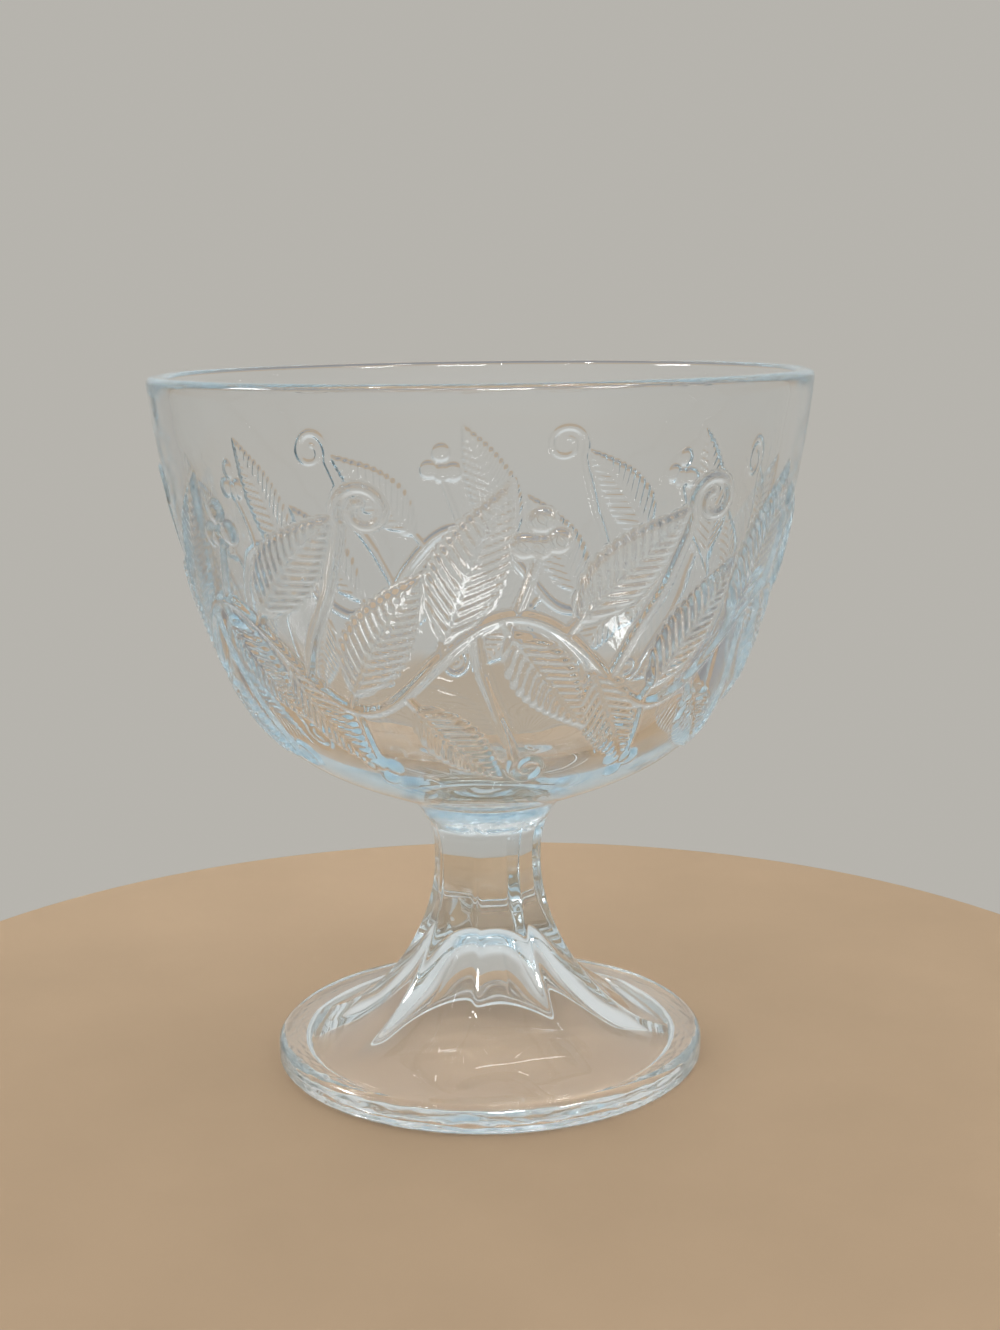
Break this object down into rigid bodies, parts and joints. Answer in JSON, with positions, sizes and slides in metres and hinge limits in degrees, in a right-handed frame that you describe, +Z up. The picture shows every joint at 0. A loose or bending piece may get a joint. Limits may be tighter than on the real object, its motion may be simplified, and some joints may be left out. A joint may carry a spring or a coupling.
{
  "type": "footed dessert bowl",
  "caption": "Clear pressed-glass dessert bowl: a deep round bowl with a leaf relief band, on a panelled stem that flares into a round hollow foot.",
  "frame": {"origin": "centre of the foot's standing ring, on the surface that the bowl stands on", "axes": "+Z up the axis of the bowl, one crease of the stem along -Y"},
  "size_m": [0.106, 0.106, 0.115],
  "materials": {
    "bowl_glass": "clear, polished, pressed",
    "pedestal_glass": "clear, polished, pressed"
  },
  "bodies": {
    "root": {"bowl": "bowl_glass", "pedestal": "pedestal_glass"}
  },
  "joints": []
}
